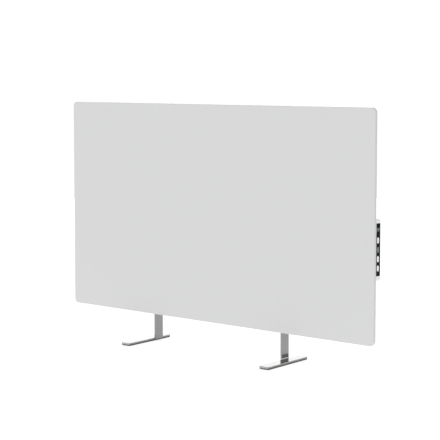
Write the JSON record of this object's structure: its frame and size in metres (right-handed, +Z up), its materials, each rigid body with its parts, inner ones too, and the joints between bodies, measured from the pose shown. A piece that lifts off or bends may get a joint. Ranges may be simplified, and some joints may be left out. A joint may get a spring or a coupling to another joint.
{
  "type": "glass panel heater",
  "caption": "Free-standing glass panel heater: thin white laminated glass on bent steel legs, with a slim control unit with push buttons behind its right-hand edge.",
  "frame": {"origin": "on the floor, midway between the ends of the feet and in the middle of the panel's thickness", "axes": "+X to the panel's right seen from the front, +Y to the back, +Z up; the glass faces -Y"},
  "size_m": [1, 0.167, 0.643],
  "materials": {
    "enamelled_glass": "white enamel behind polished glass",
    "interlayer": "clear laminating sheet",
    "film": "resistive heating film",
    "copper": "tinned copper strip",
    "steel": "satin polished steel bar",
    "screw_steel": "plated steel",
    "insert_brass": "knurled brass",
    "foot_rubber": "soft matt rubber",
    "foam_tape": "acrylic foam tape",
    "housing": "fine matt moulded plastic",
    "fascia": "smoked gloss acrylic",
    "button_white": "smooth moulded plastic",
    "button_lit": "translucent cap lit green",
    "board": "green solder mask",
    "component_black": "black moulded component",
    "relay_case": "blue relay case",
    "fuse_glass": "glass fuse tube",
    "capacitor_can": "sleeved can",
    "terminal_green": "green terminal body",
    "socket_white": "nylon socket",
    "ribbon_grey": "flat ribbon cable",
    "lead_insulation": "silicone lead",
    "sensor_epoxy": "epoxy bead"
  },
  "bodies": {
    "heater": {"front_glass": "enamelled_glass", "rear_glass": "enamelled_glass", "front_interlayer": "interlayer", "rear_interlayer": "interlayer", "heating_film": "film", "upper_bus_bar": "copper", "lower_bus_bar": "copper", "left_leg_block": "housing", "right_leg_block": "housing", "left_wall_block": "housing", "right_wall_block": "housing", "block_tapes": "foam_tape", "threaded_inserts": "insert_brass", "left_leg": "steel", "right_leg": "steel", "left_foot_pad": "foot_rubber", "right_foot_pad": "foot_rubber", "leg_screws": "screw_steel", "control_tape": "foam_tape", "control_base": "housing", "control_cover": "housing", "side_fascia": "fascia", "cover_screws": "screw_steel", "board_screws": "screw_steel", "switch_bodies": "component_black", "button_board": "board", "display_module": "component_black", "status_lamp": "button_lit", "radio_module": "screw_steel", "control_board": "board", "power_supply": "component_black", "relay": "relay_case", "fuse": "fuse_glass", "fuse_clips": "screw_steel", "smoothing_capacitor": "capacitor_can", "mains_terminal": "terminal_green", "heater_terminal": "terminal_green", "board_sockets": "socket_white", "board_ribbon": "ribbon_grey", "thermal_cutout": "component_black", "temperature_sensor": "sensor_epoxy", "live_lead": "lead_insulation", "cutout_lead": "lead_insulation", "sensor_lead": "ribbon_grey", "inlet_bush": "component_black", "inlet_nut": "component_black"},
    "power_key": {"power_button": "button_white", "power_plunger": "component_black"},
    "status_key": {"status_button": "button_lit", "status_plunger": "component_black"},
    "plus_key": {"plus_button": "button_white", "plus_plunger": "component_black"},
    "minus_key": {"minus_button": "button_white", "minus_plunger": "component_black"}
  },
  "joints": [
    {"name": "power_press", "type": "slide", "parent": "heater", "child": "power_key", "axis": [-1, 0, 0], "range_m": [0, 0.0006], "stiffness_N_per_m": 1500, "springref_m": -0.0004},
    {"name": "status_press", "type": "slide", "parent": "heater", "child": "status_key", "axis": [-1, 0, 0], "range_m": [0, 0.0006], "stiffness_N_per_m": 1500, "springref_m": -0.0004},
    {"name": "plus_press", "type": "slide", "parent": "heater", "child": "plus_key", "axis": [-1, 0, 0], "range_m": [0, 0.0006], "stiffness_N_per_m": 1500, "springref_m": -0.0004},
    {"name": "minus_press", "type": "slide", "parent": "heater", "child": "minus_key", "axis": [-1, 0, 0], "range_m": [0, 0.0006], "stiffness_N_per_m": 1500, "springref_m": -0.0004}
  ]
}
